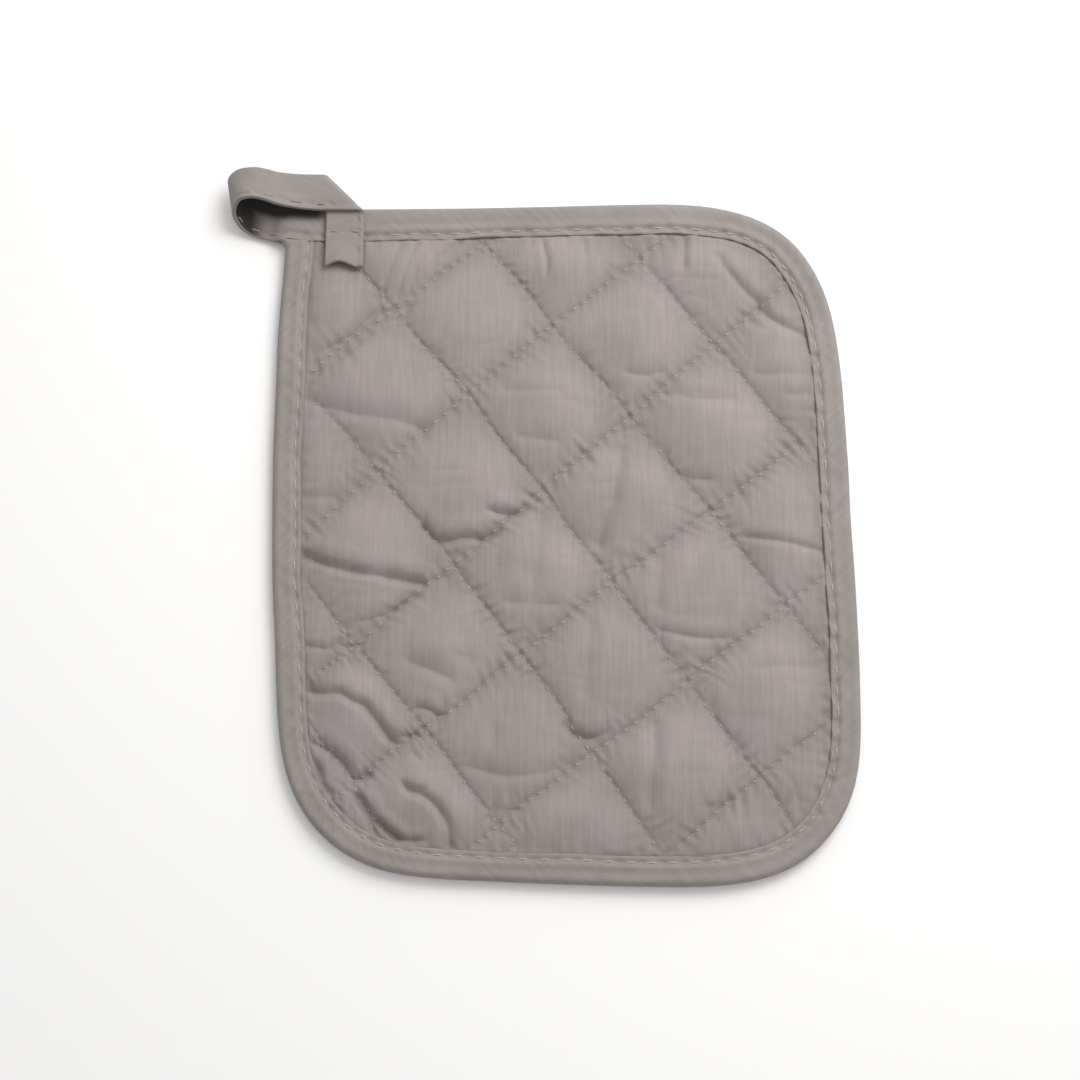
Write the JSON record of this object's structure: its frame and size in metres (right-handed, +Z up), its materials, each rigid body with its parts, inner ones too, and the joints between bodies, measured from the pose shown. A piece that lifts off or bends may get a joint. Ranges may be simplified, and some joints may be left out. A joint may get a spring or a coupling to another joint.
{
  "type": "quilted pot holder",
  "caption": "Flat quilted cloth pot holder with rounded corners, a taped edge and a tape hanging loop folded and sewn down over its square corner.",
  "frame": {"origin": "middle of the base of the box that holds the whole part, loop included, on the surface it lies on", "axes": "+Z up out of the quilted front, +Y along the long sides towards the loop, +X to the right seen from above"},
  "size_m": [0.2074, 0.2374, 0.0146],
  "materials": {
    "quilted_cotton": "taupe plain-weave cotton quilted over wadding, matt",
    "cotton_tape": "taupe plain-weave cotton bias tape, matt"
  },
  "bodies": {
    "root": {"quilted_panel": "quilted_cotton", "edge_binding": "cotton_tape", "hanging_loop": "cotton_tape"}
  },
  "joints": []
}
